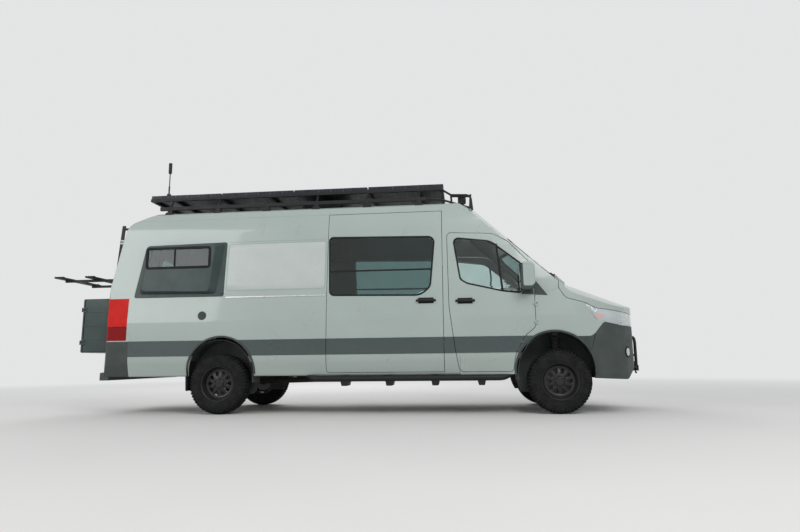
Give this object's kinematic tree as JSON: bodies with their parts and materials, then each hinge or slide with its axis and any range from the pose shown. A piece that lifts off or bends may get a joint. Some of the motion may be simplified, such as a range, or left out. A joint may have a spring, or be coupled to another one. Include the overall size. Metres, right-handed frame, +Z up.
{
  "type": "off-road camper van",
  "caption": "High-roofed camper van with bunk flares, roof rack with solar panels, side steps, and a box and cycle carrier on its rear door.",
  "frame": {"origin": "on the ground, under the middle of the van's whole length and width", "axes": "+X forward, +Y to the van's left, +Z up"},
  "size_m": [7.83, 2.34, 3.52],
  "materials": {
    "body_paint": "satin clear-coated sage grey",
    "dark_paint": "satin dark grey-green",
    "dark_trim": "moulded, lightly grained",
    "rack_metal": "textured powder coat",
    "chassis_metal": "dull underbody paint",
    "glass": "dark tinted, polished",
    "lamp_clear": "clear polished lens",
    "lamp_red": "red lens",
    "tyre": "treaded rubber",
    "wheel_black": "satin black alloy",
    "solar": "dark cells under glass",
    "seat_fabric": "woven",
    "bedding": "woven cotton",
    "interior_plastic": "grained",
    "floor_lining": "vinyl over ply",
    "cabinet_wood": "oiled veneer",
    "engine_metal": "cast"
  },
  "bodies": {
    "van_body": {"floor_pan": "floor_lining", "roof_panel": "body_paint", "side_wall_right": "body_paint", "side_wall_left": "body_paint", "cab_frame": "body_paint", "front_fenders": "body_paint", "front_bumper": "dark_trim", "radiator_grille": "dark_trim", "headlamps": "lamp_clear", "windshield": "glass", "side_glass": "glass", "sliding_door": "body_paint", "tail_lamps": "lamp_red", "rear_bumper": "dark_trim", "bunk_flares": "dark_paint", "roof_rack": "rack_metal", "solar_deck": "solar", "roof_vent": "dark_trim", "antenna_mast": "rack_metal", "side_steps": "rack_metal", "chassis_frame": "chassis_metal", "rear_axle": "chassis_metal", "front_axle": "chassis_metal", "underfloor_gear": "chassis_metal", "engine_block": "engine_metal", "seat_bases": "interior_plastic", "cab_seats": "seat_fabric", "dashboard": "interior_plastic", "steering_wheel": "interior_plastic", "bed_platform": "cabinet_wood", "mattress": "bedding", "cabinets": "cabinet_wood", "nudge_bar": "rack_metal", "front_wheel_housings": "dark_trim", "rear_wheel_housings": "dark_trim"},
    "front_door_right_body": {"front_door_right": "body_paint", "front_glass_right": "glass", "mirror_right": "dark_trim"},
    "rear_door_right_body": {"rear_door_right": "body_paint", "rear_glass_right": "glass", "door_carrier": "rack_metal", "storage_box": "dark_paint"},
    "steered_hub_right": {"knuckle_right": "chassis_metal"},
    "wheel_front_right": {"tyre_front_right": "tyre", "rim_front_right": "wheel_black"},
    "wheel_rear_right": {"tyre_rear_right": "tyre", "rim_rear_right": "wheel_black"},
    "front_door_left_body": {"front_door_left": "body_paint", "front_glass_left": "glass", "mirror_left": "dark_trim"},
    "rear_door_left_body": {"rear_door_left": "body_paint", "rear_glass_left": "glass"},
    "steered_hub_left": {"knuckle_left": "chassis_metal"},
    "wheel_front_left": {"tyre_front_left": "tyre", "rim_front_left": "wheel_black"},
    "wheel_rear_left": {"tyre_rear_left": "tyre", "rim_rear_left": "wheel_black"},
    "box_lid_body": {"box_lid": "dark_paint"},
    "hood_body": {"hood": "body_paint"}
  },
  "joints": [
    {"name": "front_door_right_hinge", "type": "hinge", "parent": "van_body", "child": "front_door_right_body", "pos_m": [2.563, -1.016, 1.2], "axis": [0, 0, 1], "range_deg": [0, 70]},
    {"name": "rear_door_right_hinge", "type": "hinge", "parent": "van_body", "child": "rear_door_right_body", "pos_m": [-3.087, -0.803, 1.48], "axis": [0.0523, 0, 0.9986], "range_deg": [0, 90]},
    {"name": "steering_right", "type": "hinge", "parent": "van_body", "child": "steered_hub_right", "pos_m": [2.825, -0.7, 0.3875], "axis": [0, 0, 1], "range_deg": [-33, 33]},
    {"name": "roll_front_right", "type": "hinge", "parent": "steered_hub_right", "child": "wheel_front_right", "pos_m": [2.825, -0.855, 0.3875], "axis": [0, 1, 0], "continuous": true},
    {"name": "roll_rear_right", "type": "hinge", "parent": "van_body", "child": "wheel_rear_right", "pos_m": [-1.5, -0.855, 0.3875], "axis": [0, 1, 0], "continuous": true},
    {"name": "front_door_left_hinge", "type": "hinge", "parent": "van_body", "child": "front_door_left_body", "pos_m": [2.563, 1.016, 1.2], "axis": [0, 0, -1], "range_deg": [0, 70]},
    {"name": "rear_door_left_hinge", "type": "hinge", "parent": "van_body", "child": "rear_door_left_body", "pos_m": [-3.087, 0.803, 1.48], "axis": [-0.0523, 0, -0.9986], "range_deg": [0, 180]},
    {"name": "steering_left", "type": "hinge", "parent": "van_body", "child": "steered_hub_left", "pos_m": [2.825, 0.7, 0.3875], "axis": [0, 0, 1], "range_deg": [-33, 33]},
    {"name": "roll_front_left", "type": "hinge", "parent": "steered_hub_left", "child": "wheel_front_left", "pos_m": [2.825, 0.855, 0.3875], "axis": [0, 1, 0], "continuous": true},
    {"name": "roll_rear_left", "type": "hinge", "parent": "van_body", "child": "wheel_rear_left", "pos_m": [-1.5, 0.855, 0.3875], "axis": [0, 1, 0], "continuous": true},
    {"name": "box_lid_hinge", "type": "hinge", "parent": "rear_door_right_body", "child": "box_lid_body", "pos_m": [-3.583, -0.758, 1.2], "axis": [0, 0, 1], "range_deg": [0, 110]},
    {"name": "hood_hinge", "type": "hinge", "parent": "van_body", "child": "hood_body", "pos_m": [2.845, 0, 1.688], "axis": [0, -1, 0], "range_deg": [0, 50]}
  ],
  "couplings": [
    {"joint": "steering_right", "follows": "steering_left", "ratio": 1}
  ]
}
